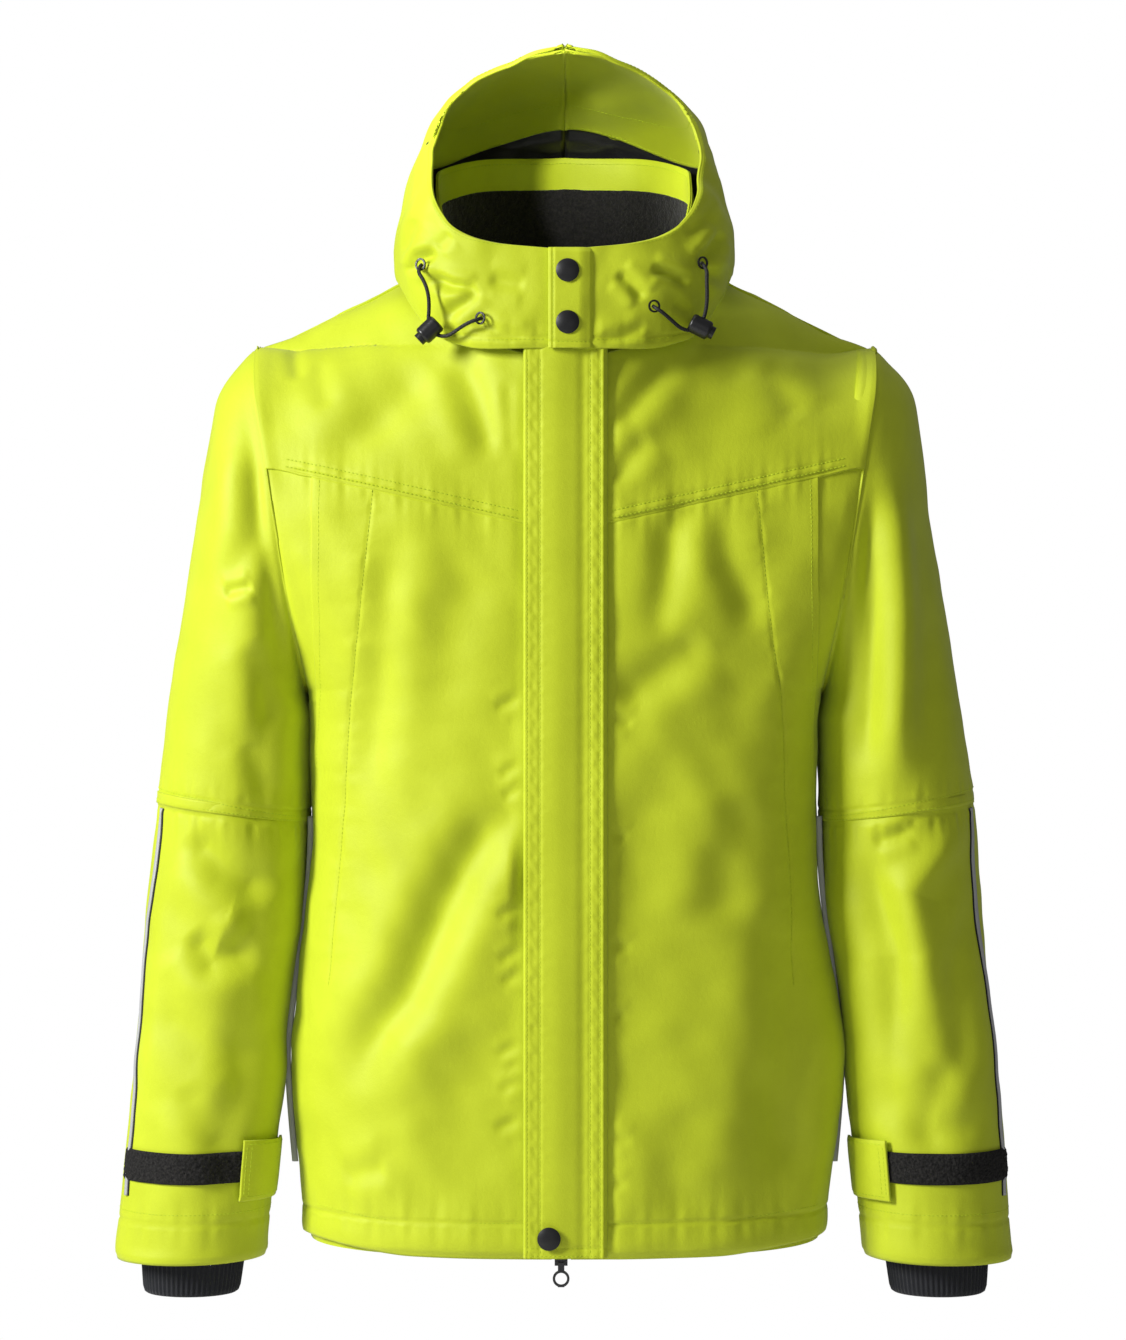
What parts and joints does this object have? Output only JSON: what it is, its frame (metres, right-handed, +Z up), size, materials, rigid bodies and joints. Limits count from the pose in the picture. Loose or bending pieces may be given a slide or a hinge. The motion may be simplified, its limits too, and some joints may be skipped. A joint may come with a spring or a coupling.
{
  "type": "foul weather jacket",
  "caption": "Hooded foul weather jacket with storm flap over a zip, chin flap, cuff tabs, knitted inner cuffs and hood drawcords.",
  "frame": {"origin": "hang loop inside the back of the neck, at the collar seam", "axes": "+X towards the wearer's left, -Y towards the front, +Z up"},
  "size_m": [0.724, 0.2637, 0.994],
  "materials": {
    "shell_fabric": "matt coated plain weave",
    "lining_satin": "smooth dark satin",
    "fleece": "brushed black fleece",
    "knit_rib": "black rib knit",
    "hook_loop": "black hook and loop tape",
    "reflective": "grey reflective tape",
    "snap_black": "matt black lacquer",
    "zip_tape": "black woven tape",
    "zip_plastic": "moulded black plastic",
    "zip_metal": "black lacquered metal",
    "cord": "braided black cord",
    "lock_plastic": "moulded black plastic"
  },
  "bodies": {
    "torso": {"front_panel_left": "shell_fabric", "front_panel_right": "shell_fabric", "front_yoke_left": "shell_fabric", "front_yoke_right": "shell_fabric", "side_panel_left": "shell_fabric", "side_panel_right": "shell_fabric", "back_panel": "shell_fabric", "back_yoke": "shell_fabric", "hem_facing": "shell_fabric", "body_lining": "lining_satin", "pocket_bag_left": "lining_satin", "pocket_bag_right": "lining_satin", "inner_wind_flap": "lining_satin", "zip_tapes": "zip_tape", "zip_teeth": "zip_plastic", "body_piping_left": "reflective", "body_piping_right": "reflective", "hood_neck_left": "shell_fabric", "hood_neck_right": "shell_fabric", "collar_shell": "shell_fabric", "collar_fleece": "fleece", "collar_band": "shell_fabric", "hang_loop": "zip_tape", "eyelets": "zip_metal", "snap_studs": "snap_black", "drawcord_left": "cord", "drawcord_right": "cord", "cord_lock_left": "lock_plastic", "cord_lock_right": "lock_plastic"},
    "hood": {"hood_crown_left": "shell_fabric", "hood_crown_right": "shell_fabric", "hood_facing": "shell_fabric", "hood_lining": "lining_satin"},
    "storm_flap": {"storm_flap": "shell_fabric", "hem_snap_cap": "snap_black"},
    "chin_flap": {"chin_flap": "shell_fabric", "chin_snap_caps": "snap_black"},
    "lower_slider": {"lower_slider": "zip_metal"},
    "lower_pull": {"lower_pull": "zip_metal"},
    "upper_slider": {"upper_slider": "zip_metal", "upper_pull": "zip_metal"},
    "upper_sleeve_left": {"upper_sleeve_left": "shell_fabric"},
    "lower_sleeve_left": {"lower_sleeve_left": "shell_fabric", "knit_cuff_left": "knit_rib", "sleeve_piping_left": "reflective", "cuff_loop_tape_left": "hook_loop"},
    "cuff_tab_left": {"cuff_tab_left": "shell_fabric", "cuff_hook_pad_left": "hook_loop"},
    "cord_button_left": {"cord_button_left": "lock_plastic"},
    "upper_sleeve_right": {"upper_sleeve_right": "shell_fabric"},
    "lower_sleeve_right": {"lower_sleeve_right": "shell_fabric", "knit_cuff_right": "knit_rib", "sleeve_piping_right": "reflective", "cuff_loop_tape_right": "hook_loop"},
    "cuff_tab_right": {"cuff_tab_right": "shell_fabric", "cuff_hook_pad_right": "hook_loop"},
    "cord_button_right": {"cord_button_right": "lock_plastic"}
  },
  "joints": [
    {"name": "shoulder_left", "type": "hinge", "parent": "torso", "child": "upper_sleeve_left", "pos_m": [0.2495, -0.085, -0.0395], "axis": [0, -1, 0], "range_deg": [0, 80]},
    {"name": "elbow_left", "type": "hinge", "parent": "upper_sleeve_left", "child": "lower_sleeve_left", "pos_m": [0.27, -0.162, -0.405], "axis": [-1, 0, 0], "range_deg": [0, 80]},
    {"name": "cuff_tab_peel_left", "type": "hinge", "parent": "lower_sleeve_left", "child": "cuff_tab_left", "pos_m": [0.2275, -0.1115, -0.705], "axis": [0, 0, -1], "range_deg": [0, 32]},
    {"name": "cord_button_press_left", "type": "slide", "parent": "torso", "child": "cord_button_left", "axis": [-0.8924, 0, 0.4512], "range_m": [0, 0.003], "stiffness_N_per_m": 400, "springref_m": -0.001},
    {"name": "shoulder_right", "type": "hinge", "parent": "torso", "child": "upper_sleeve_right", "pos_m": [-0.2495, -0.085, -0.0395], "axis": [0, 1, 0], "range_deg": [0, 80]},
    {"name": "elbow_right", "type": "hinge", "parent": "upper_sleeve_right", "child": "lower_sleeve_right", "pos_m": [-0.27, -0.162, -0.405], "axis": [-1, 0, 0], "range_deg": [0, 80]},
    {"name": "cuff_tab_peel_right", "type": "hinge", "parent": "lower_sleeve_right", "child": "cuff_tab_right", "pos_m": [-0.2275, -0.1115, -0.705], "axis": [0, 0, 1], "range_deg": [0, 32]},
    {"name": "cord_button_press_right", "type": "slide", "parent": "torso", "child": "cord_button_right", "axis": [0.722, 0, 0.6919], "range_m": [0, 0.003], "stiffness_N_per_m": 400, "springref_m": -0.001},
    {"name": "hood_tip", "type": "hinge", "parent": "torso", "child": "hood", "pos_m": [0, 0.0435, 0.045], "axis": [-1, 0, 0], "range_deg": [0, 85]},
    {"name": "storm_flap_open", "type": "hinge", "parent": "torso", "child": "storm_flap", "pos_m": [0.031, -0.212, -0.4], "axis": [0, 0, 1], "range_deg": [0, 120]},
    {"name": "chin_flap_open", "type": "hinge", "parent": "torso", "child": "chin_flap", "pos_m": [0.024, -0.216, -0.008], "axis": [0, 0, 1], "range_deg": [0, 110]},
    {"name": "lower_slider_run", "type": "slide", "parent": "torso", "child": "lower_slider", "axis": [0, 0, 1], "range_m": [0, 0.3]},
    {"name": "lower_pull_swing", "type": "hinge", "parent": "lower_slider", "child": "lower_pull", "pos_m": [-0.003, -0.2079, -0.754], "axis": [-1, 0, 0], "range_deg": [0, 70]},
    {"name": "upper_slider_run", "type": "slide", "parent": "torso", "child": "upper_slider", "axis": [0, 0, 1], "range_m": [-0.35, 0]}
  ]
}
